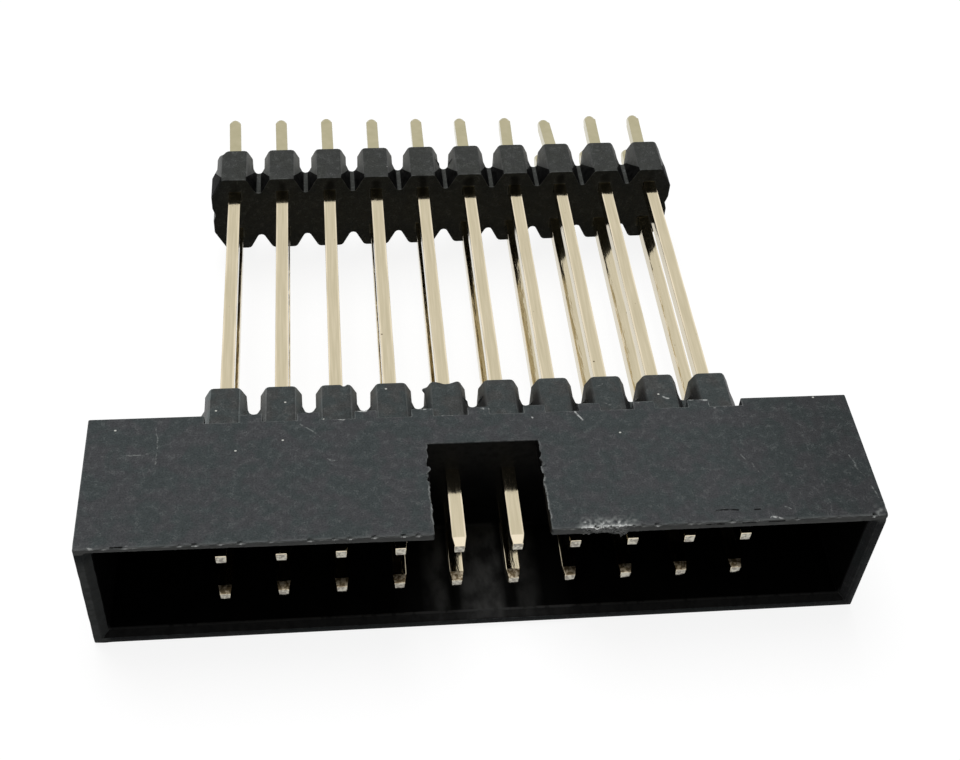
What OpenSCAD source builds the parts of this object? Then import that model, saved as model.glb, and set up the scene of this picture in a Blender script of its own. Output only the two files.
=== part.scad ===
// Shrouded double-row pin header, long-pin type with a board-side spacer strip.
// X runs along the rows, Y from the open mouth (-Y) to the solder tails (+Y), and Z up through the
// wall that has the polarising notch. The origin is under the middle of the whole header, on the
// plane of its lower wall. Millimetres.

/* [Contacts] */
// Centre distance of neighbouring contacts, along a row and between the two rows
pitch = 2.0; // [1.9:0.05:2.2]
// Contacts in each row
columns = 10; // [4:1:20]
// Side of the square contact pins
pin_side = 0.5; // [0.4:0.05:0.55]
// Overall length of a contact pin
pin_length = 24.0; // [23:0.1:30]
// How far the mating tips stand back from the mouth of the shroud
tip_recess = 0.6; // [0.3:0.1:1.5]

/* [Shroud] */
// Shroud length beyond the outer edge of the end contacts' cells, at each end
shroud_end = 3.55; // [2.5:0.05:4.5]
// Outside width of the shroud, across the rows
shroud_width = 5.4; // [4.6:0.1:6]
// Depth of the shroud, from its mouth to its rear face
shroud_depth = 5.55; // [5:0.05:7]
// Thickness of the base that holds the pins
base_thickness = 1.65; // [1.2:0.05:2.2]
// Thickness of the long walls
long_wall = 0.5; // [0.4:0.05:0.6]
// Thickness of the end walls
end_wall = 0.55; // [0.4:0.05:1]
// Width of the polarising notch in the upper long wall
notch_width = 3.9; // [3:0.1:5]

/* [Insulator strips] */
// Height of an insulator strip, across the rows
strip_height = 3.85; // [3.5:0.05:4.4]
// Thickness of an insulator strip, along the pins
strip_thickness = 2.0; // [1.7:0.05:2.5]
// Distance from the mouth of the shroud to the board-side strip
board_strip_at = 19.55; // [10:0.05:20]

/* [Hidden] */
row_z = [shroud_width / 2 + pitch / 2, shroud_width / 2 - pitch / 2];
shroud_length = pitch * columns + 2 * shroud_end;
mouth_y = -(tip_recess + pin_length) / 2;
base_y = mouth_y + shroud_depth - base_thickness;
rear_y = mouth_y + shroud_depth;
cut = 1;

// The flat land at the shroud's mouth, and the lead-in bevel behind it
rim_land = 0.3;
rim_bevel_depth = 0.25;
// Wash grooves across the rear face, one behind each column of contacts
groove_depth = 0.35;
groove_width = 1.2;

// Insulator outline: a bump over each column, sloping down to a valley on either side
bump_flat = 1.05;
bump_foot = pitch - 0.2;
valley_depth = 0.75;
crest_radius = 0.18;
valley_radius = 0.15;
round_steps = 2;
// The shallow notch in the insulator's end faces, between the rows
end_notch = 0.1;
end_notch_z = 0.35;
// The web stops short of the tail side, where the columns go on as ribs with upright sides
web_thickness = strip_thickness - 0.65;
rib_side = pitch - 0.5;

// Ends of a pin: a bevelled mating tip, and a tail whose corners taper into a round nose
tip_bevel = 0.07;
tip_length = 0.36;
nose_radius = 0.54 * pin_side;
nose_length = 0.3;
nose_taper = 0.25;
nose_steps = 4;

PIN_COUNT = 2 * columns;

function pin_name(number) = str(number < 10 ? "pin_0" : "pin_", number);

// Middle of a column, counted from the -X end
function column_x(column) = (column - (columns - 1) / 2) * pitch;

// Contact 1 is at the +X end of the notch row, and odd numbers stay in that row
function pin_column(number) = columns - 1 - floor((number - 1) / 2);
function pin_row_z(number) = row_z[(number - 1) % 2];

// Stands a flat outline drawn in X and Z up, and gives it a thickness from y to y + depth
module upright(y, depth) {
    translate([0, y + depth, 0]) rotate([90, 0, 0]) linear_extrude(depth) children();
}

module square_bar(side, y, length) {
    translate([-side / 2, y, -side / 2]) cube([side, length, side]);
}

// Outline of the wire, the same seen from above and from the side, with its bevelled mating tip
module wire_outline() {
    half = pin_side / 2;
    polygon([[tip_bevel - half, 0], [half - tip_bevel, 0], [half, tip_length],
             [half, pin_length], [-half, pin_length], [-half, tip_length]]);
}

// A round bar that ends in the tail's nose, and is thicker than the wire everywhere else
module nose_bar() {
    nose = [for (step = [0 : nose_steps]) let (turn = 90 * step / nose_steps)
        [nose_radius * cos(turn), pin_length - nose_length * (1 - sin(turn))]];
    rotate([-90, 0, 0]) rotate_extrude($fn = 32)
        polygon(concat([[0, 0], [pin_side, 0], [pin_side, nose[0][1] - nose_taper]], nose));
}

// A straight square wire pin: the outline cut from above and from the side, and the round nose
module contact_pin() {
    intersection() {
        translate([0, 0, -pin_side]) linear_extrude(2 * pin_side) wire_outline();
        rotate([0, 90, 0]) translate([0, 0, -pin_side]) linear_extrude(2 * pin_side) wire_outline();
        nose_bar();
    }
}

module pin(number) {
    color("tan")
        translate([column_x(pin_column(number)), mouth_y + tip_recess, pin_row_z(number)])
            contact_pin();
}

// Square holes that grip the pins, through a moulding that reaches from y to y + depth
module pin_holes(y, depth) {
    for (column = [0 : columns - 1], z = row_z)
        translate([column_x(column), 0, z]) square_bar(pin_side, y - cut, depth + 2 * cut);
}

// A prism along Z, with the plan of the lead-in bevel: flush with the land at the mouth, and with
// the wall's inner face behind it
module bevel_prism(outer, wall) {
    land = outer / 2 - rim_land;
    inner = outer / 2 - wall;
    translate([0, mouth_y, 0]) linear_extrude(2 * shroud_length, center = true)
        polygon([[-land, -cut], [land, -cut], [land, 0], [inner, rim_bevel_depth],
                 [-inner, rim_bevel_depth], [-land, 0]]);
}

// The space for the mating plug, with the bevel that leads the plug in past the rim
module cavity() {
    inner_length = shroud_length - 2 * end_wall;
    inner_width = shroud_width - 2 * long_wall;
    translate([-inner_length / 2, mouth_y - cut, long_wall])
        cube([inner_length, base_y - mouth_y + cut, inner_width]);
    intersection() {
        bevel_prism(shroud_length, end_wall);
        translate([0, 0, shroud_width / 2]) rotate([0, 90, 0])
            bevel_prism(shroud_width, long_wall);
    }
}

// Grooves across the whole rear face, which leave standoff lands between the columns
module wash_grooves() {
    for (column = [0 : columns - 1])
        translate([column_x(column) - groove_width / 2, rear_y - groove_depth, -cut])
            cube([groove_width, groove_depth + cut, shroud_width + 2 * cut]);
}

module shroud() {
    color([0.2, 0.22, 0.22]) difference() {
        translate([-shroud_length / 2, mouth_y, 0])
            cube([shroud_length, shroud_depth, shroud_width]);
        cavity();
        // Polarising notch, open at the mouth and down to the base
        translate([-notch_width / 2, mouth_y - cut, shroud_width / 2])
            cube([notch_width, base_y - mouth_y + cut, shroud_width]);
        pin_holes(base_y, base_thickness);
        wash_grooves();
    }
}

// Height above the middle at which a bump's slopes have come to be that wide apart
function slope_z(width) =
    strip_height / 2 - valley_depth * (width - bump_flat) / (bump_foot - bump_flat);

function unit(v) = v / norm(v);

// The arc that rounds off the corner of an outline, between its neighbours on both sides
function corner_arc(before, corner, after, radius) =
    let (to_before = unit(before - corner), to_after = unit(after - corner),
         half_angle = acos(to_before * to_after) / 2,
         middle = corner + unit(to_before + to_after) * radius / sin(half_angle),
         start = corner + to_before * radius / tan(half_angle) - middle,
         end = corner + to_after * radius / tan(half_angle) - middle,
         turn = 180 - 2 * half_angle)
    [for (step = [0 : round_steps]) let (part = step / round_steps)
        middle + (start * sin(turn * (1 - part)) + end * sin(turn * part)) / sin(turn)];

// Corners of the bump over the column at x, from its foot on the -X side to that on the +X side
function bump_corners(x) = let (top = slope_z(bump_flat), valley_z = slope_z(bump_foot))
    [[x - bump_foot / 2, valley_z], [x - bump_flat / 2, top],
     [x + bump_flat / 2, top], [x + bump_foot / 2, valley_z]];

function crest(x) = let (bump = bump_corners(x))
    concat(corner_arc(bump[0], bump[1], bump[2], crest_radius),
           corner_arc(bump[1], bump[2], bump[3], crest_radius));

// The valley between the bump at x and the next one
function valley(x) = let (bump = bump_corners(x), next = bump_corners(x + pitch))
    concat(corner_arc(bump[2], bump[3], next[0], valley_radius),
           corner_arc(bump[3], next[0], next[1], valley_radius));

// The +X end of the insulator, from the end of the last bump's slope down to the lower row
function strip_end() = let (x = pitch * columns / 2, z = slope_z(pitch))
    [[x, z], [x, end_notch_z], [x - end_notch, 0], [x, -end_notch_z], [x, -z]];

function turned(points) = [for (p = points) [-p[0], -p[1]]];

// Outline of the web: the wavy upper edge, the +X end, and the same again turned half round
module web_outline() {
    upper_edge = [for (column = [0 : columns - 1]) let (x = column_x(column))
        each concat(crest(x), column < columns - 1 ? valley(x) : [])];
    half = concat(upper_edge, strip_end());
    polygon(concat(half, turned(half)));
}

// A rib is one column of the insulator, both rows high: the bump's slopes end in upright sides
module rib_outline() {
    shoulder = [rib_side / 2, slope_z(rib_side)];
    half = concat([[-shoulder[0], shoulder[1]]], crest(0), [shoulder]);
    polygon(concat(half, turned(half)));
}

// A castellated strip that holds both rows of pins, with its flat web side at y
module insulator(y) {
    color([0.16, 0.17, 0.17]) difference() {
        translate([0, y, shroud_width / 2]) {
            upright(0, web_thickness) web_outline();
            for (column = [0 : columns - 1]) translate([column_x(column), 0, 0])
                upright(0, strip_thickness) rib_outline();
        }
        pin_holes(y, strip_thickness);
    }
}

shroud();
insulator(rear_y);  // shroud_insulator
insulator(mouth_y + board_strip_at);  // board_insulator
for (number = [1 : PIN_COUNT]) {
    pin(number);
}
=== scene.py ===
"""Looks of a 2 x 10 shrouded box header with long pins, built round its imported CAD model."""

import math

import bmesh
import bpy
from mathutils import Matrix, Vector, noise


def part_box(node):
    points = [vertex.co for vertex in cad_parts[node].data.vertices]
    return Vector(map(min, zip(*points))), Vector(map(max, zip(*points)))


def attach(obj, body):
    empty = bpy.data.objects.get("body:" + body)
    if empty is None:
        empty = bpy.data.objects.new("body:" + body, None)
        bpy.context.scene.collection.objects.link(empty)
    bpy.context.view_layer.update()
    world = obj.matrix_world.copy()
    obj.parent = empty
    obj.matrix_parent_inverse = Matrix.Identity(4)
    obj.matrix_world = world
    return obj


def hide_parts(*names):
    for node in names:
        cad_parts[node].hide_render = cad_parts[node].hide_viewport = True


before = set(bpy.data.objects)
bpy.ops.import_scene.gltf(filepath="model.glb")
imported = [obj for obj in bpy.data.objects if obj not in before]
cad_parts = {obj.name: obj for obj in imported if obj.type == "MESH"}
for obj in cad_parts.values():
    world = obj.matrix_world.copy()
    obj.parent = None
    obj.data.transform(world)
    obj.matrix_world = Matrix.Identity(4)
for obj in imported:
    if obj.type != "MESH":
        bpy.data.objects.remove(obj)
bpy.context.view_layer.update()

# ---------------------------------------------------------------------------------------------
# Shroud: one injection moulding in black glass-filled plastic, matt outside and polished in the
# cavity, whose shade is painted in near black. It has been knocked about: the land round its mouth
# is scuffed along the upper wall, frayed beside the notch and bruised at one corner. Painted
# highlights run pale along its rounded edges, and partly make that land pale.

MM = 0.001
TINY = 0.005 * MM
WELD_GAP = 0.001 * MM
FLAT = math.radians(1)
SHARP = math.radians(40)
EDGE_RADIUS = 0.05 * MM


def welded(node):
    """A CAD node's mesh with its facets welded and each flat face made whole again."""
    mesh = bmesh.new()
    mesh.from_mesh(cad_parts[node].data)
    bmesh.ops.remove_doubles(mesh, verts=mesh.verts, dist=WELD_GAP)
    bmesh.ops.dissolve_limit(mesh, angle_limit=FLAT, verts=mesh.verts, edges=mesh.edges)
    mesh.verts.layers.float.new("edge")
    mesh.verts.layers.float.new("wear")
    return mesh


def sharp_edges(mesh):
    return [e for e in mesh.edges if e.calc_face_angle(0) > SHARP]


def round_edges(mesh, edges, radius):
    """Rounds the edges, and marks each rounding's crest in "edge"."""
    made = bmesh.ops.bevel(mesh, geom=edges, offset=radius, offset_type="OFFSET", segments=2,
                           profile=0.5, affect="EDGES", clamp_overlap=False)
    rounding = set(made["faces"])
    crest = mesh.verts.layers.float["edge"]
    for v in made["verts"]:
        v[crest] = float(all(f in rounding for f in v.link_faces))


shroud = welded("shroud")
shroud_low, shroud_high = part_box("shroud")
mouth, top = shroud_low.y, shroud_high.z
rim_corners = [v.co.copy() for v in shroud.verts if v.co.y < mouth + TINY]
notch_side = min(abs(c.x) for c in rim_corners if c.z > top - TINY)
lip = max(c.z for c in rim_corners if c.z < top - TINY)
floor = max(v.co.y for v in shroud.verts
            if v.co.z > top - TINY and abs(abs(v.co.x) - notch_side) < TINY)


def on_floor(edge):
    """Whether an edge lies on the cavity's floor, where the moulding has no radius."""
    return (all(abs(v.co.y - floor) < TINY for v in edge.verts)
            and any(v.co.z < top - TINY for v in edge.verts))


round_edges(shroud, [e for e in sharp_edges(shroud) if not on_floor(e)], EDGE_RADIUS)

LEAST_WALL = 0.45 * MM


def is_polished_and_shaded(face):
    """Whether a face is in the cavity, or is the lower wall's bevel or a side of the notch."""
    c = face.calc_center_median()
    on_lower_bevel = c.z < shroud_low.z + LEAST_WALL and face.normal.z > 0.3
    beside_notch = abs(abs(c.x) - notch_side) < TINY and abs(face.normal.x) > 0.9
    start = mouth + (TINY if on_lower_bevel else LEAST_WALL / 2)
    between_walls = shroud_low.z + LEAST_WALL / 2 < c.z < top - LEAST_WALL
    return (start < c.y < floor + TINY and abs(c.x) < shroud_high.x - LEAST_WALL
            and (beside_notch or between_walls))


# These faces take the cavity's finish: polished, and near black as painted shade
for f in shroud.faces:
    f.material_index = int(is_polished_and_shaded(f))

X, Y, Z = range(3)
AXES = Vector((1, 0, 0)), Vector((0, 1, 0)), Vector((0, 0, 1))
CUT_GAP = 0.0005 * MM


def cut(mesh, faces, place, normal):
    """Cuts the faces with a plane, and returns all the geometry they are now."""
    edges = dict.fromkeys(e for f in faces for e in f.edges)
    verts = dict.fromkeys(v for f in faces for v in f.verts)
    return bmesh.ops.bisect_plane(mesh, geom=[*verts, *edges, *faces], dist=CUT_GAP,
                                  plane_co=place, plane_no=normal)["geom"]


def straddles(face, axis, at, low, high):
    """Whether a face crosses the plane at `at` and meets the box from low to high."""
    for i in range(3):
        places = [v.co[i] for v in face.verts]
        if max(places) < low[i] or min(places) > high[i]:
            return False
        if i == axis and not min(places) < at < max(places):
            return False
    return True


def batter(mesh, low, high, step, blow):
    """Cuts what lies in a box into cells of about one step, and moves each vertex there by what
    blow(place) gives: a shift, and how far the surface is worn."""
    for axis in range(3):
        for at in (low[axis], high[axis]):
            faces = [f for f in mesh.faces if straddles(f, axis, at, low, high)]
            if faces:
                cut(mesh, faces, AXES[axis] * at, AXES[axis])

    def inside(place):
        return all(low[i] - TINY < place[i] < high[i] - TINY for i in range(3))

    for axis in range(3):
        count = max(1, round((high[axis] - low[axis]) / step[axis]))
        faces = [f for f in mesh.faces if inside(f.calc_center_median())]
        for i in range(1, count):
            at = low[axis] + (high[axis] - low[axis]) * i / count
            made = cut(mesh, faces, AXES[axis] * at, AXES[axis])
            faces = [g for g in made if isinstance(g, bmesh.types.BMFace)]
    wear = mesh.verts.layers.float["wear"]
    limits = [(min(v.co[i] for v in mesh.verts), max(v.co[i] for v in mesh.verts))
              for i in range(3)]
    for v in [v for v in mesh.verts if inside(v.co)]:
        shift, worn = blow(v.co)
        v.co = [min(max(c, least), most) for c, (least, most) in zip(v.co + shift, limits)]
        v[wear] = max(v[wear], worn)


def near(distance, reach):
    """1 at the middle of a mark, falling smoothly to 0 at its reach."""
    share = max(0.0, 1 - distance / reach)
    return share * share * (3 - 2 * share)


SEED = 2
noise.seed_set(SEED)


def rough(place, size, depth):
    """A random shift of up to that depth, which changes over distances of that size."""
    return noise.noise_vector(place / size) * depth


def uneven(x, size, row):
    """A random height along an edge, from about -1 to 1, another one for each row."""
    return noise.noise(Vector((x / size, row, 0)))


# Wear goes from 0, as moulded, over 1, rubbed pale, to 2 and more, torn to white fibres
CHIP_RUN, CHIP_REACH = 0.16 * MM, 0.12 * MM
CHIP_SHIFT = Vector((0, 0.16, -0.16)) * MM
LIP_REACH = 0.3 * MM
BOW, BOW_START, BOW_RUN = 0.12 * MM, 2 * MM, 11 * MM


def rim_blow(place):
    """A scuffed land, paler still as a painted highlight, with chips in the edge over it and a lip
    that bows up towards -X.
    """
    edge = math.hypot(place.y - mouth, place.z - top)
    chip = max(0.0, uneven(place.x, CHIP_RUN, 0) - 0.05)
    shift = CHIP_SHIFT * chip * near(edge, CHIP_REACH)
    shift += rough(place, 0.1 * MM, 0.015 * MM) * near(edge, 0.3 * MM)
    bow = BOW * min(1, max(0, (-place.x - BOW_START) / BOW_RUN))
    shift += Vector((0, 0, bow * near(abs(place.z - lip), LIP_REACH)))
    down = (top - place.z) / (top - lip)
    # The land's wear makes it pale: partly scuffing, partly a painted highlight
    land = near(place.y - mouth, (0.02 if down < 0.5 else 0.08) * MM)
    land *= (down < 1.2) * (1.45 + 0.3 * down)
    return shift, max(land, 0.5 * near(edge, CHIP_REACH))


FRAY_START, FRAY_END = 2.7 * MM, 5.0 * MM
LUMP = 4.4 * MM
FIBRE_SHIFT = Vector((0, 0.03, -0.25)) * MM


def fray(place):
    """A lip that a plug has torn: pale fibres stand up from it and hang into the mouth, most of
    all at one lump."""
    shift, worn = rim_blow(place)
    along = (place.x - FRAY_START) / (FRAY_END - FRAY_START)
    level = max(0.0, min(1, 6 * along, 4 * (1 - along)))
    edge = math.hypot(place.y - mouth, place.z - top)
    hanging = near(math.hypot(place.y - mouth, place.z - lip), LIP_REACH)
    ragged = 0.7 * near(abs(place.x - LUMP), 0.5 * MM)
    ragged += 1.1 * uneven(place.x, 0.3 * MM, 7) + 0.9 * uneven(place.x, 0.11 * MM, 9)
    shift += FIBRE_SHIFT * max(0.0, ragged) * level * hanging
    shift += rough(place, 0.07 * MM, 0.07 * MM) * level * near(edge, 0.45 * MM)
    patchy = 0.7 + 0.8 * uneven(place.x, 0.5 * MM, 3)
    patchy *= max(0.0, 0.5 + 2.2 * noise.noise(place / (0.11 * MM)))
    onto_top = 1.9 * patchy * near(edge, 0.6 * MM) if place.y > mouth + TINY else 0
    return shift, max(worn, level * max(onto_top, 2.4 * near(place.y - mouth, 0.2 * MM)))


BRUISE = 0.9 * MM
BRUISE_DEEP = 1.2 * MM
BRUISE_RADIUS = 0.14 * MM


def bruise(place):
    """The corner over the last contact, blunted and roughened by a knock, and pitted in patches."""
    shift, worn = rim_blow(place)
    out = place - Vector((shroud_high.x - BRUISE_RADIUS, mouth + BRUISE_RADIUS, place.z))
    if out.x > 0 and out.y < 0 and out.length > BRUISE_RADIUS:
        shift += (out.normalized() * BRUISE_RADIUS - out) * near(top - place.z, 0.5 * MM)
    corner = (place - Vector((shroud_high.x, mouth, top))).length
    shift += rough(place, 0.15 * MM, 0.07 * MM) * near(corner, 0.6 * MM)
    patchy = max(0.0, 0.7 + 3 * noise.noise(place / (0.14 * MM)))
    pitted = min(1.4, 1.2 * patchy * near(corner, 0.7 * MM))
    return shift, max(worn * near(top - place.z, 0.8 * MM), pitted)


def end_blow(place):
    """The land and the bevel inside the mouth's -X end, made paler: rubbed by plugs, and a
    painted reflection as well.
    """
    worn = 1.05 if place.y < mouth + TINY else 0.6
    return rough(place, 0.3 * MM, 0.02 * MM), worn * (place.x > shroud_low.x + TINY)


def notch_blow(place):
    """A torn cut edge beside the notch, with a pale line along the front part of it, painted there
    as a highlight.
    """
    edge = math.hypot(abs(place.x) - notch_side, place.z - top)
    from_floor = (floor - place.y) / MM
    shift = rough(place, 0.16 * MM, (0.06 + 0.12 * near(abs(from_floor - 1.4), 0.9)) * MM)
    shift += rough(place, 0.6 * MM, 0.04 * MM)
    # A painted highlight along the front part of the edge
    notch_sheen = min(1, max(0, from_floor - 0.6))
    return shift * near(edge, 0.22 * MM), 1.5 * near(edge, 0.08 * MM) * notch_sheen


# The boxes that are worn: how far they reach, and how finely the plastic is cut up in them
BEYOND = 0.01 * MM
RIM_DEEP = 0.5 * MM
RIM_STEP = (0.08 * MM, 0.05 * MM, 0.05 * MM)
FRAY_STEP = (0.05 * MM, 0.04 * MM, 0.04 * MM)
FINE_STEP = (0.06 * MM,) * 3
END_STEP = (0.1 * MM, 0.1 * MM, 0.4 * MM)
END_WIDE, END_DEEP = 0.6 * MM, 0.3 * MM
NOTCH_WIDE, NOTCH_HIGH = 0.2 * MM, 0.25 * MM

bruise_start = shroud_high.x - BRUISE
for start, end, step, blow in ((shroud_low.x, -notch_side, RIM_STEP, rim_blow),
                               (notch_side, FRAY_START - 2 * BEYOND, RIM_STEP, rim_blow),
                               (FRAY_START, FRAY_END, FRAY_STEP, fray),
                               (FRAY_END + 2 * BEYOND, bruise_start, RIM_STEP, rim_blow)):
    batter(shroud, (start - BEYOND, mouth - BEYOND, top - RIM_DEEP),
           (end + BEYOND, mouth + RIM_DEEP, top + BEYOND), step, blow)
batter(shroud, (bruise_start + BEYOND, mouth - BEYOND, top - BRUISE_DEEP),
       (shroud_high.x + BEYOND, mouth + BRUISE, top + BEYOND), FINE_STEP, bruise)
batter(shroud, (shroud_low.x - BEYOND, mouth - BEYOND, shroud_low.z - BEYOND),
       (shroud_low.x + END_WIDE, mouth + END_DEEP, top - RIM_DEEP), END_STEP, end_blow)
for side in (-notch_side, notch_side):
    batter(shroud, (side - NOTCH_WIDE, mouth + RIM_DEEP, top - NOTCH_HIGH),
           (side + NOTCH_WIDE, floor, top + BEYOND), FINE_STEP, notch_blow)


class Finish:
    """A procedural finish, in which every pattern is measured in millimetres."""

    def __init__(self, name, **sockets):
        self.material = bpy.data.materials.new(name)
        self.material.use_nodes = True
        self.nodes = self.material.node_tree.nodes
        self.links = self.material.node_tree.links
        self.shader = self.nodes["Principled BSDF"]
        for socket, value in sockets.items():
            self.shader.inputs[socket.replace("_", " ")].default_value = value
        place = self.nodes.new("ShaderNodeTexCoord").outputs["Object"]
        self.place = self.add("VectorMath", 0, {0: place, 1: (1 / MM,) * 3}, operation="MULTIPLY")
        self.across, self.along, self.height = self.parts(self.place)

    def add(self, kind, out, inputs, **settings):
        """Adds a node, sets or links its inputs, and returns one of its outputs."""
        node = self.nodes.new("ShaderNode" + kind)
        for name, value in settings.items():
            setattr(node, name, value)
        for key, value in inputs.items():
            if isinstance(value, bpy.types.NodeSocket):
                self.links.new(value, node.inputs[key])
            else:
                node.inputs[key].default_value = value
        return node.outputs[out]

    def parts(self, vector):
        """The three parts of a vector, along X, Y and Z."""
        return [self.add("SeparateXYZ", i, {0: vector}) for i in range(3)]

    def cloud(self, size, detail=3.0, roughness=0.5):
        """Soft noise from 0 to 1, in patches of that size, or of three sizes along the axes."""
        sizes = size if isinstance(size, tuple) else (size,) * 3
        where = self.add("Mapping", 0, {"Vector": self.place, "Scale": [1 / s for s in sizes]})
        return self.add("TexNoise", 0, {"Vector": where, "Scale": 1, "Detail": detail,
                                        "Roughness": roughness})

    def between(self, value, low, high, to_low=0.0, to_high=1.0):
        """Takes values from low to high onto the range from to_low to to_high, and clips them."""
        return self.add("MapRange", 0, {0: value, 1: low, 2: high, 3: to_low, 4: to_high})

    def times(self, share, *others):
        """The product of any number of shares."""
        for other in others:
            share = self.add("Math", 0, {0: share, 1: other}, operation="MULTIPLY")
        return share

    def most(self, share, *others):
        """The highest of any number of shares."""
        for other in others:
            share = self.add("Math", 0, {0: share, 1: other}, operation="MAXIMUM")
        return share

    def away(self, value, middle):
        """How far a value is from that middle one."""
        off = self.add("Math", 0, {0: value, 1: middle}, operation="SUBTRACT")
        return self.add("Math", 0, {0: off}, operation="ABSOLUTE")

    def mix(self, share, one, other):
        """One colour where share is 0, the other where it is 1."""
        return self.add("Mix", 2, {0: share, 6: one, 7: other}, data_type="RGBA")

    def shaded(self, colour, value):
        """The colour multiplied by a value."""
        return self.add("VectorMath", 0, {0: colour, "Scale": value}, operation="SCALE")

    def attribute(self, name):
        return self.add("Attribute", "Fac", {}, attribute_name=name)

    def hairlines(self, value, width):
        """Thin lines where a value passes its middle."""
        return self.between(self.away(value, 0.5), width, width / 3)

    def specks(self, spacing, radius, share):
        """Round specks, one in each cell of that spacing, of which only a share is there."""
        cells = {"Vector": self.place, "Scale": 1 / spacing}
        distance = self.add("TexVoronoi", "Distance", cells)
        chance = self.add("TexVoronoi", "Color", cells)
        there = self.between(self.add("SeparateColor", 0, {0: chance}), share, share - 0.01)
        return self.times(there, self.between(distance, radius / spacing, 0.5 * radius / spacing))

    def strokes(self, lines, width, wander=0.08):
        """Scratches of that width along lines from place to place, which wander a little."""
        if not lines:
            return 0.0
        drift = self.add("TexNoise", "Color", {"Vector": self.place, "Scale": 1.6})
        drift = self.add("VectorMath", 0, {0: drift, 1: (0.5, 0.5, 0.5)}, operation="SUBTRACT")
        drift = self.shaded(drift, 4 * wander)
        where = self.add("VectorMath", 0, {0: self.place, 1: drift}, operation="ADD")
        shares = []
        for start, end in lines:
            run = Vector(end) - Vector(start)
            offset = self.add("VectorMath", 0, {0: where, 1: start}, operation="SUBTRACT")
            share = self.add("VectorMath", 1, {0: offset, 1: run / run.length_squared},
                             operation="DOT_PRODUCT")
            nearest = self.shaded(run, self.between(share, 0, 1))
            distance = self.add("VectorMath", 1, {0: offset, 1: nearest}, operation="DISTANCE")
            shares.append(self.between(distance, width / 2, width / 5))
        return self.most(*shares)

    def set(self, **sockets):
        for socket, value in sockets.items():
            self.links.new(value, self.shader.inputs[socket.replace("_", " ")])

    def bump(self, height, depth):
        """Raises the surface by up to that depth, in millimetres."""
        self.set(Normal=self.add("Bump", 0, {"Height": height, "Distance": depth * MM}))


GRAIN = 0.06
GRAIN_DEPTH = 0.008
# Pale colours for wear, which also serve as painted highlights along edges and in shines
WORN_AND_HIGHLIGHT = (0.20, 0.21, 0.205, 1)
FRAYED_AND_HIGHLIGHT = (0.50, 0.51, 0.50, 1)
BURR = (0.85, 0.86, 0.84, 1)
# Nearly black, for painted shade in chips, cuts and dents, and down in recesses
PAINTED_SHADE = (0.004, 0.004, 0.004, 1)
DUST = (0.60, 0.60, 0.56, 1)


def moulded(finish, grain, cool, warm, painted_light):
    """The plastic as it leaves the mould, in two blacks and a fine grain, with ramps of painted
    light and shade over it. Each ramp is an axis, where along it the colour starts and stops
    changing, and what multiplies it there."""
    colour = finish.mix(finish.between(finish.cloud(0.9, 3), 0.44, 0.56), cool, warm)
    patches = finish.between(finish.cloud(0.3, 5, 0.65), 0.35, 0.65, 0.9, 1.1)
    colour = finish.shaded(colour, finish.times(patches, finish.between(grain, 0.3, 0.7, 0.7, 1.3)))
    # Ramps of painted light and shade
    for axis, *change in painted_light:
        where = (finish.across, finish.along, finish.height)[axis]
        colour = finish.shaded(colour, finish.between(where, *change))
    return colour


def rubbed(finish, colour, scratches, flash_and_shines):
    """Paler with hairlines, rubs and scratches, and palest where it is bare, torn or has fins of
    moulding, with painted highlights along the crests of edges and in shines.
    """
    wear, edge = finish.attribute("wear"), finish.attribute("edge")
    soft = finish.cloud((0.45, 0.2, 0.2), 3)
    fine = finish.cloud((0.12, 0.09, 0.07), 3, 0.7)
    hairs = finish.times(finish.hairlines(finish.cloud(0.24, 3, 0.6), 0.025),
                         finish.between(finish.cloud(0.3, 2), 0.47, 0.6, 0, 0.24))
    rubs = finish.times(finish.between(soft, 0.35, 0.65, 0.75, 1), wear)
    # Pale along the crests of rounded edges: partly wear, partly a painted highlight
    crest = finish.times(finish.between(finish.cloud(0.3, 4), 0.35, 0.6, 0.05, 0.6), edge,
                         finish.between(wear, 0.6, 1, 1, 0.4))
    marks = finish.times(finish.strokes(scratches, width=0.08),
                         finish.between(finish.cloud(0.12, 2), 0.42, 0.55, 0.1, 0.7))
    colour = finish.mix(finish.most(hairs, rubs, crest, marks), colour, WORN_AND_HIGHLIGHT)

    scuffs = finish.between(finish.times(wear, finish.between(soft, 0.3, 0.7, 0.9, 1.1)), 1, 2)
    tears = finish.times(finish.between(wear, 1.7, 2.1), finish.between(fine, 0.56, 0.44))
    bare = finish.add("Math", 0, {0: scuffs, 1: tears}, operation="SUBTRACT", use_clamp=True)
    # Palest in streaks along worn edges, and in the shines: painted highlights
    edge_sheen = finish.times(edge, finish.between(wear, 0.6, 1, 0, 0.5),
                         finish.between(finish.cloud((0.35, 0.1, 0.1), 4, 0.6), 0.52, 0.62))
    bits = finish.times(finish.strokes(flash_and_shines, width=0.1, wander=0.12),
                        finish.between(finish.cloud(0.15, 2), 0.38, 0.5, 0.1, 0.8))
    colour = finish.mix(finish.most(bare, edge_sheen, bits), colour, FRAYED_AND_HIGHLIGHT)
    burr = finish.times(finish.between(wear, 1.8, 2.4), finish.between(fine, 0.4, 0.55))
    return finish.mix(burr, colour, BURR)


def gouge_shade(finish, colour, cuts):
    """Nearly black, as painted shade, in the chips along worn edges, and in cuts."""
    worn_edge = finish.times(finish.attribute("edge"),
                             finish.between(finish.attribute("wear"), 0.85, 0.97))
    chips = finish.times(worn_edge,
                         finish.between(finish.cloud((0.35, 0.1, 0.1), 2), 0.44, 0.38))
    slits = finish.times(finish.strokes(cuts, width=0.09, wander=0.03),
                         finish.between(finish.cloud(0.2, 2), 0.35, 0.45, 0.5, 1))
    return finish.mix(finish.most(chips, slits), colour, PAINTED_SHADE)


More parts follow.
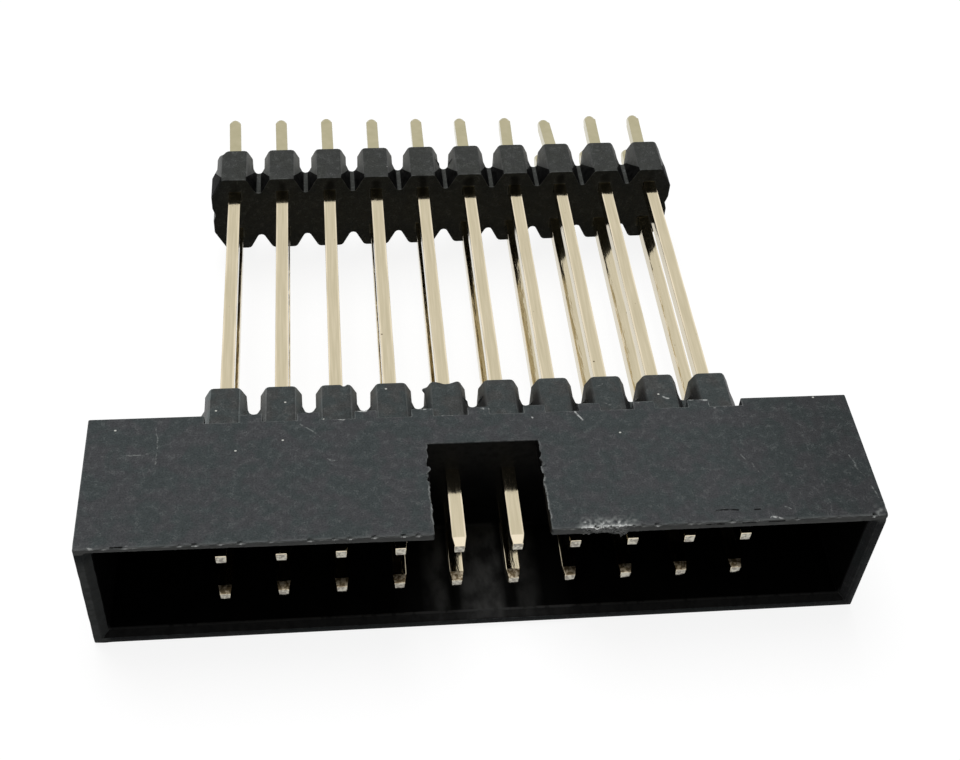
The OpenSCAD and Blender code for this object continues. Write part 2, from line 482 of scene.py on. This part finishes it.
def plastic(name, cool, warm, scratches=(), flash_and_shines=(), cuts=(), dust=(), painted_light=(), dark=None,
            **sockets):
    """Black moulded plastic, worn, scratched and flecked with dust, with painted light and shade.
    dark(finish) gives how far painted shade darkens each place under the dust."""
    finish = Finish(name, **sockets)
    grain = finish.cloud(GRAIN, 3, 0.6)
    colour = moulded(finish, grain, cool, warm, painted_light)
    colour = rubbed(finish, colour, scratches, flash_and_shines)
    colour = gouge_shade(finish, colour, cuts)
    if dark:
        colour = finish.mix(dark(finish), colour, PAINTED_SHADE)
    fallen = finish.most(finish.specks(spacing=1.3, radius=0.025, share=0.25),
                         finish.strokes(dust, width=0.08, wander=0))
    colour = finish.mix(fallen, colour, DUST)
    finish.set(Base_Color=colour, Roughness=finish.between(grain, 0.2, 0.8, 0.45, 0.7))
    finish.bump(grain, GRAIN_DEPTH)
    return finish.material


def on_level(height, lines):
    """Lines, or single places, given in plan, laid on a face at that height."""
    z = height / MM
    lines = [line if isinstance(line[0], tuple) else (line, (line[0] + 0.02, line[1]))
             for line in lines]
    return [((*start, z), (*end, z)) for start, end in lines]


# Marks on the shroud's top in millimetres, each from place to place, and the chips under its edge.
# The shines are painted highlights, and the cuts and chips get painted shade.
SCRATCHES = (((9.0, -9.4), (9.5, -10.2)), ((12.9, -9.6), (13.4, -11.5)),
             ((-11.2, -7.2), (-11.1, -9.4)), ((-12.9, -8.5), (-11.3, -8.4)),
             ((10.05, -11.8), (10.2, -11.85)), ((-6.3, -7.3), (-5.6, -7.9)),
             ((-5.4, -8.9), (-4.8, -9.2)), ((3.4, -7.1), (3.7, -7.6)))
RIM_SHINES = (((8.5, -12.27), (9.2, -12.29)), ((9.4, -12.23), (10.0, -12.26)),
             ((-13.05, -12.2), (-12.8, -12.25)), ((-12.0, -12.25), (-11.8, -12.22)))
GROOVE_SHINES = (((-5.05, -7.12), (-4.45, -7.1)), ((-4.35, -6.8), (-3.7, -6.77)),
                ((-2.3, -6.84), (-1.65, -6.77)), ((-1.3, -7.14), (-0.85, -7.14)),
                ((0.05, -6.8), (0.4, -6.9)), ((1.45, -6.85), (1.85, -7.35)),
                ((3.48, -7.2), (3.65, -7.55)), ((4.45, -7.14), (4.85, -7.12)),
                ((5.65, -6.82), (6.35, -6.78)), ((7.65, -6.8), (8.35, -6.79)),
                ((8.37, -6.8), (8.37, -7.1)), ((8.4, -7.13), (9.25, -7.13)))
CUTS = (((7.65, -11.78), (8.35, -11.81)), ((8.95, -11.82), (9.15, -11.83)),
        ((-12.35, -12.24), (-12.0, -12.25)))
CHIPS = (((7.2, -12.3), (7.8, -12.3)), ((8.45, -12.3), (8.9, -12.3)),
         ((9.35, -12.3), (9.9, -12.3)))
CHIPS_DOWN = 0.08 * MM
SPECKS = ((-12.6, -7.3), (-8.5, -8.4), (-6.9, -8.0), (4.9, -8.2), (12.3, -6.85))

# Its top darkens towards +X as painted shade
shroud_plastic = plastic(
    "shroud_plastic", (0.050, 0.058, 0.059, 1), (0.057, 0.059, 0.062, 1),
    scratches=on_level(top, SCRATCHES), flash_and_shines=on_level(top, RIM_SHINES + GROOVE_SHINES),
    cuts=on_level(top, CUTS) + on_level(top - CHIPS_DOWN, CHIPS), dust=on_level(top, SPECKS),
    painted_light=[(X, 8, 12.5, 1, 0.72)], Specular_IOR_Level=0.04)

pitch = (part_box("pin_01")[0].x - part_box("pin_03")[0].x) / MM
# Near black: the polished cavity, with its shade painted in
POLISHED_AND_SHADED = (0.002, 0.002, 0.002, 1)
# Paler: a painted pool of light under the notch, and pale patches elsewhere in the cavity
LIGHT_AND_PATCHES = (0.045, 0.045, 0.044, 1)


def cavity_plastic():
    """Polished plastic, near black as the cavity's painted shade, and paler in places: a painted
    pool of light under the notch, with the painted shadows of its two pins in it, on the lower
    bevel and along that bevel's inner edge, and in patches high up on the floor."""
    finish = Finish("cavity_plastic", Specular_IOR_Level=0.03)
    blotches = finish.between(finish.cloud((0.5, 0.9, 0.3), 4), 0.35, 0.62, 0.25, 1)
    low_down = finish.between(finish.height, 0.8, 0.6)
    off_middle = finish.away(finish.across, 0)
    off_pin = finish.away(off_middle, pitch / 2)
    # A painted pool of light through the notch, thin in line with its pins: their painted shadows
    lit_under_notch = finish.times(blotches, low_down, finish.between(off_middle, 2.2, 1.5),
                               finish.between(off_pin, 0.15, 0.4, 0.15, 1))
    front = mouth / MM
    bevel = finish.times(finish.between(finish.along, front + 0.3, front + 0.2, 0, 0.5), low_down,
                         finish.between(finish.cloud(0.3, 3), 0.35, 0.6, 0.5, 1))
    off_edge = finish.away(finish.along, front + 0.26)
    inner_edge = finish.times(finish.between(off_edge, 0.06, 0.03), low_down,
                              finish.between(finish.cloud(0.3, 3), 0.35, 0.5, 0.4, 1.2))
    back = floor / MM
    high_up = finish.times(finish.between(finish.along, back - 0.1, back - 0.05),
                           finish.between(finish.height, 3.2, 4.8, 0, 0.45),
                           finish.between(finish.cloud(0.25, 3), 0.35, 0.6, 0.5, 1))
    light_and_patches = finish.most(lit_under_notch, bevel, inner_edge, high_up)
    finish.set(Base_Color=finish.mix(light_and_patches, POLISHED_AND_SHADED, LIGHT_AND_PATCHES),
               Roughness=finish.between(blotches, 0, 1, 0.35, 0.5))
    return finish.material


def piece(name, mesh, finishes, node):
    """Makes an object of the mesh, which rides on the header and stands for the CAD node."""
    for f in mesh.faces:
        f.smooth = True
    for e in mesh.edges:
        e.smooth = e.calc_face_angle(0) < SHARP
    data = bpy.data.meshes.new(name)
    mesh.to_mesh(data)
    mesh.free()
    for finish in finishes:
        data.materials.append(finish)
    obj = bpy.data.objects.new(name, data)
    bpy.context.scene.collection.objects.link(obj)
    even = obj.modifiers.new("even shading", "WEIGHTED_NORMAL")
    even.keep_sharp = True
    even.weight = 100
    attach(obj, "root")
    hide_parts(node)


piece("shroud_moulding", shroud, [shroud_plastic, cavity_plastic()], "shroud")

# ---------------------------------------------------------------------------------------------
# Insulator strips: two alike, moulded in black plastic with a bump over each column of pins.
# One is pushed up against the shroud, the other stands the header off its board, a little askew.
# The flanks between the bumps are glossy and paler than the tops, as a painted reflection, with
# painted shade down in the valleys, and a few edges are nicked where they were cropped.

SKEW = 0.3 / 18
FLANK_SLOPE = 0.5
POCKET = Vector((0, 0.2, 0)) * MM
POCKET_SLOPE = Vector((0, 1, 1.7))


def nick(mesh, place, reach, shift):
    """Moves an edge about a place, given in millimetres, and roughens it a little."""
    middle, reach, shift = Vector(place) * MM, reach * MM, Vector(shift) * MM
    corner = Vector((reach,) * 3)

    def blow(at):
        level = near((at - middle).length, reach)
        return (shift + rough(at, 0.15 * MM, 0.015 * MM)) * level, 0

    batter(mesh, middle - corner, middle + corner, FINE_STEP, blow)


def strip(node, name, skew, finishes, nicks, has_pockets=False):
    """A strip, turned a little in its plane. Its first finish goes all round it, the second on
    the flanks of its valleys, and the third, near black as painted shade, on their front ends
    down between the bumps, where a strip has them."""
    mesh = welded(node)
    round_edges(mesh, sharp_edges(mesh), EDGE_RADIUS)
    low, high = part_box(node)

    def is_flank(face):
        return (abs(face.normal.x) > FLANK_SLOPE and abs(face.normal.y) < FLANK_SLOPE
                and abs(face.calc_center_median().x) < high.x - TINY)

    pocket_edge = Vector((0, low.y, high.z)) + POCKET
    if has_pockets:
        cut(mesh, [f for f in mesh.faces if is_flank(f)], pocket_edge, POCKET_SLOPE)
    for f in mesh.faces:
        middle = f.calc_center_median()
        in_pocket = has_pockets and (middle - pocket_edge).dot(POCKET_SLOPE) < 0
        upper = middle.z > (low.z + high.z) / 2
        f.material_index = is_flank(f) * (2 if in_pocket and upper else 1)
    for place, reach, shift in nicks:
        nick(mesh, place, reach, shift)
    for v in mesh.verts:
        v.co.y += skew * v.co.x
    piece(name, mesh, finishes, node)


def paler(colours, times):
    """The colours multiplied by that, and left opaque."""
    return [(*(channel * times for channel in colour[:3]), 1) for colour in colours]


def shaded_valleys(finish):
    """Painted shade, darker down in the valleys, apart from their tail ends and more and more
    towards +X.
    """
    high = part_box("shroud_insulator")[1]
    tail_end, level = high.y / MM - 0.45, high.z / MM - 0.125
    return finish.times(finish.between(finish.along, tail_end + 0.1, tail_end - 0.1),
                        finish.between(finish.height, level + 0.06, level - 0.06),
                        finish.between(finish.across, -3, 1, 0, 0.95))


# Marks in millimetres, and nicks: where each is, how far it reaches, and how far it moves the edge
COOL = (0.052, 0.060, 0.060, 1), (0.056, 0.058, 0.057, 1)
BUMP_SCRATCHES = (((4.5, -6.0), (5.0, -6.2)), ((4.6, -5.2), (4.85, -5.1)))
BUMP_FLASH = (((7.3, -5.95), (7.0, -5.9)),)
BUMP_DUST = ((-9.3, -5.85), (-6.85, -5.55), (-6.45, -6.1), (-5.5, -6.4), (-3.2, -5.05),
             (6.85, -5.75))
# Painted shade in the dents along two bumps' rear edges
DENTS = (((-1.35, -4.8), (-0.5, -4.8)), ((-4.9, -4.8), (-4.6, -4.83)))
DENTS_DOWN = 0.06 * MM
BUMP_NICKS = (((-0.95, -4.75, 4.6), 0.5, (0, -0.07, -0.07)),
              ((-1.7, -4.8, 4.2), 0.15, (-0.12, 0, 0.04)),
              ((-4.72, -4.75, 4.6), 0.15, (0, -0.02, -0.08)))

strip_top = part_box("shroud_insulator")[1].z
shroud_strip = [
    plastic("insulator_plastic", *COOL, scratches=on_level(strip_top, BUMP_SCRATCHES),
            flash_and_shines=on_level(strip_top, BUMP_FLASH), cuts=on_level(strip_top - DENTS_DOWN, DENTS),
            dust=on_level(strip_top, BUMP_DUST), Specular_IOR_Level=0.04),
    # Flanks twice as pale as the tops and darker towards +X: a painted reflection, with painted
    # shade down in the valleys
    plastic("insulator_flanks", *paler(COOL, 2), painted_light=[(X, -8, 0, 1, 0.3)], dark=shaded_valleys,
            IOR=1.45)]
strip("shroud_insulator", "shroud_insulator_strip", 0, shroud_strip, BUMP_NICKS)

WARM = (0.046, 0.048, 0.046, 1), (0.044, 0.046, 0.043, 1)
BOARD_DUST = ((-2.5, 7.9),)
BOARD_NICKS = (((-9.55, 9.25, 4.6), 0.3, (0.03, -0.05, -0.1)),)
# Where the columns stand along X, in millimetres
COLUMNS = range(-9, 10, 2)
board_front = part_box("board_insulator")[0].y


def shade_over_wires(finish):
    """Painted shade over each upper wire, where it goes into the strip's front."""
    over_wires = [((x, board_front / MM, 4.1), (x, board_front / MM, 4.3)) for x in COLUMNS]
    return finish.times(finish.strokes(over_wires, width=0.55, wander=0.1), 0.8)


# Near black: painted shade on the front ends of the board strip's flanks
pocket_shade = Finish("board_insulator_pocket_shade", Specular_IOR_Level=0.02)
pocket_shade.set(Base_Color=pocket_shade.mix(pocket_shade.between(pocket_shade.cloud(0.2, 3), 0.35, 0.65),
                                   (0.001, 0.001, 0.001, 1), (0.006, 0.006, 0.006, 1)),
            Roughness=pocket_shade.between(pocket_shade.cloud(GRAIN), 0.2, 0.8, 0.5, 0.7))
board_strip = [
    plastic("board_insulator_plastic", *WARM, dust=on_level(strip_top, BOARD_DUST), dark=shade_over_wires,
            Specular_IOR_Level=0.03),
    # Flanks 2.5 times as pale, darker towards +X and paler lower down: a painted reflection
    plastic("board_insulator_flanks", *paler(WARM, 2.5),
            painted_light=[(X, -6, 3, 1, 0.5), (Z, 4.6, 4.1, 0.4, 1)], IOR=1.45),
    pocket_shade.material]
strip("board_insulator", "board_insulator_strip", SKEW, board_strip, BOARD_NICKS,
      has_pockets=True)

# ---------------------------------------------------------------------------------------------
# Contact pins: 20 straight square wires, cropped, coined to a bevelled tip at the mating end and
# plated pale gold. They are pressed through the shroud and both strips. Single tails have been
# bent a little, and all of them are tarnished past the board strip.

seat, tail_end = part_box("board_insulator")[1].y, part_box("pin_01")[1].y
TIP_LENGTH = 0.36
PALE_GOLD = (0.55, 0.485, 0.335, 1), (0.64, 0.565, 0.405, 1)
TARNISHED = (0.40, 0.37, 0.23, 1), (0.52, 0.47, 0.32, 1)
# Pale gold for the painted highlights on the pins
HIGHLIGHT_GOLD = (0.90, 0.79, 0.60, 1)
CROPPED = (0.24, 0.22, 0.19, 1), (0.47, 0.45, 0.38, 1)
BASE_METAL = (0.16, 0.12, 0.07, 1)


def pin_plating():
    """Pale gold, streaked along the wire by its drawing, with painted highlights on its upward
    corners, its edges and the tip's upward bevels, tarnished past the board, and worn through to
    the base metal in specks. The bevels of the lower row are dark brown and rougher. The cropped
    faces of the tips are mottled."""
    finish = Finish("pin_plating", Metallic=1.0)
    facing = finish.parts(finish.add("NewGeometry", "Normal", {}))
    streaks = finish.cloud((0.09, 2.0, 0.09), 3)
    bright = finish.mix(finish.between(streaks, 0.3, 0.7), *PALE_GOLD)
    facing_up = finish.between(facing[Z], 0.5, 0.7)
    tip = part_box("pin_01")[0].y / MM
    bevel = finish.times(
        finish.between(finish.along, tip + TIP_LENGTH, tip + TIP_LENGTH - 0.04), facing_up)
    from_gap = finish.add("Math", 0, {0: finish.across, 1: pitch / 2}, operation="PINGPONG")
    corners = finish.times(finish.between(from_gap, pitch / 2 - 0.17, pitch / 2 - 0.21), facing_up)
    # Painted highlights on the upward corners and the edges, and on the tip's upward bevels
    corner_highlight = finish.times(finish.most(corners, finish.attribute("edge")),
                         finish.between(streaks, 0.35, 0.6, 0.25, 0.8))
    bright = finish.mix(finish.most(corner_highlight, finish.times(bevel, 0.85)), bright, HIGHLIGHT_GOLD)
    dull = finish.mix(finish.cloud(0.4, 3), *TARNISHED)
    past_seat = finish.between(finish.along, seat / MM - 0.4, seat / MM + 0.5)
    mottled = finish.mix(finish.between(finish.cloud(0.11, 3), 0.4, 0.6), *CROPPED)
    metal = finish.mix(finish.between(facing[Y], -0.8, -0.9), finish.mix(past_seat, bright, dull),
                       mottled)
    coined = finish.times(bevel, finish.between(finish.height, 2.4, 2.2))
    bare = finish.most(
        finish.specks(spacing=0.8, radius=0.05, share=0.3),
        finish.specks(spacing=0.35, radius=0.02, share=0.25),
        finish.times(coined, finish.between(finish.cloud(0.12, 2), 0.42, 0.55, 0.5, 1)))
    finish.set(Base_Color=finish.mix(bare, metal, BASE_METAL),
               Roughness=finish.most(finish.between(streaks, 0.3, 0.7, 0.06, 0.14),
                                     finish.times(coined, 0.35)))
    finish.bump(finish.cloud((0.15, 0.9, 0.15), 2), 0.006)
    return finish.material


# By column from +X, how far a tail's end leans to +X and is lifted, and by contact, how far its
# mating tip hangs, all in millimetres
LEANS = {1: 0.05, 2: 0.03, 3: -0.11, 4: 0.08, 8: -0.04, 9: -0.06, 10: -0.1}
LIFTS = {1: 0.08, 2: 0.06, 3: -0.14, 8: 0.05}
DROPS = {20: 0.2, 18: 0.09, 16: 0.07}
DRAWN_EDGE = 0.03 * MM

plating = pin_plating()
for name in [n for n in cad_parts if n.startswith("pin_")]:
    number = int(name[4:])
    column = (number + 1) // 2
    wire = welded(name)
    round_edges(wire, sharp_edges(wire), DRAWN_EDGE)
    tail_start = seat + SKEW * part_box(name)[0].x
    for at in (floor, tail_start):
        cut(wire, wire.faces[:], AXES[Y] * at, AXES[Y])
    for v in wire.verts:
        past = max(0.0, (v.co.y - tail_start) / (tail_end - tail_start))
        v.co.x += LEANS.get(column, 0) * MM * past
        before = max(0.0, (floor - v.co.y) / (floor - mouth))
        v.co.z += (LIFTS.get(column, 0) * past - DROPS.get(number, 0) * before) * MM
    piece(name + "_wire", wire, [plating], name)

# ---------------------------------------------------------------------------------------------
# Studio: a white table and white surroundings, soft light from above and behind, and a camera
# looking down into the mouth.

scene = bpy.context.scene
scene.view_settings.view_transform = "Standard"


def shader(tree, kind, **sockets):
    """Adds a shader node, with its sockets set."""
    node = tree.nodes.new("ShaderNode" + kind)
    for socket, value in sockets.items():
        node.inputs[socket].default_value = value
    return node


def seen(tree):
    """1 for what the camera, a gloss or a glass sees, and 0 for the light."""
    rays = tree.nodes.new("ShaderNodeLightPath")
    share = rays.outputs["Is Camera Ray"]
    for ray in ("Is Glossy Ray", "Is Transmission Ray"):
        either = tree.nodes.new("ShaderNodeMath")
        either.operation = "MAXIMUM"
        tree.links.new(share, either.inputs[0])
        tree.links.new(rays.outputs[ray], either.inputs[1])
        share = either.outputs[0]
    return share


def lit_and_seen(tree, lit, looks, out):
    """Gives the light one shader, and whatever sees the surface another."""
    choose = tree.nodes.new("ShaderNodeMixShader")
    tree.links.new(seen(tree), choose.inputs[0])
    tree.links.new(lit.outputs[0], choose.inputs[1])
    tree.links.new(looks.outputs[0], choose.inputs[2])
    tree.links.new(choose.outputs[0], tree.nodes[out].inputs["Surface"])


WHITE = (1, 1, 1, 1)
world = bpy.data.worlds.new("studio")
world.use_nodes = True
scene.world = world
room = world.node_tree
room.nodes.remove(room.nodes["Background"])
lit_and_seen(room, shader(room, "Background", Color=WHITE, Strength=0.09),
             shader(room, "Background", Color=WHITE), "World Output")

TABLE = 1.5
bpy.ops.mesh.primitive_plane_add(size=TABLE, location=(0, 0, -0.02 * MM))
table = bpy.context.object
table.name = "table"
paper = bpy.data.materials.new("white table")
paper.use_nodes = True
sheet = paper.node_tree
sheet.nodes.remove(sheet.nodes["Principled BSDF"])
glowing = sheet.nodes.new("ShaderNodeAddShader")
card = shader(sheet, "BsdfDiffuse", Color=(0.15, 0.15, 0.15, 1))
sheet.links.new(card.outputs[0], glowing.inputs[0])
sheet.links.new(shader(sheet, "Emission", Strength=0.89).outputs[0], glowing.inputs[1])
dim = shader(sheet, "BsdfDiffuse", Color=(0.09, 0.09, 0.09, 1))
lit_and_seen(sheet, dim, glowing, "Material Output")
table.data.materials.append(paper)

lamp = bpy.data.lights.new("overhead", "AREA")
lamp.size = 0.3
lamp.energy = 1.85
softbox = bpy.data.objects.new("overhead", lamp)
scene.collection.objects.link(softbox)
softbox.location = (-0.05, 0.15, 0.38)
softbox.rotation_euler = softbox.location.to_track_quat("Z", "Y").to_euler()
softbox.visible_glossy = False

camera = bpy.data.objects.new("camera", bpy.data.cameras.new("camera"))
scene.collection.objects.link(camera)
scene.camera = camera
camera.data.lens = 53.044
camera.data.shift_x, camera.data.shift_y = -0.01, -0.04
camera.data.clip_start = 0.001
camera.location = (-5.258 * MM, -40.036 * MM, 42.958 * MM)
camera.rotation_euler = [math.radians(a) for a in (44.443, -3.541, -5.723)]
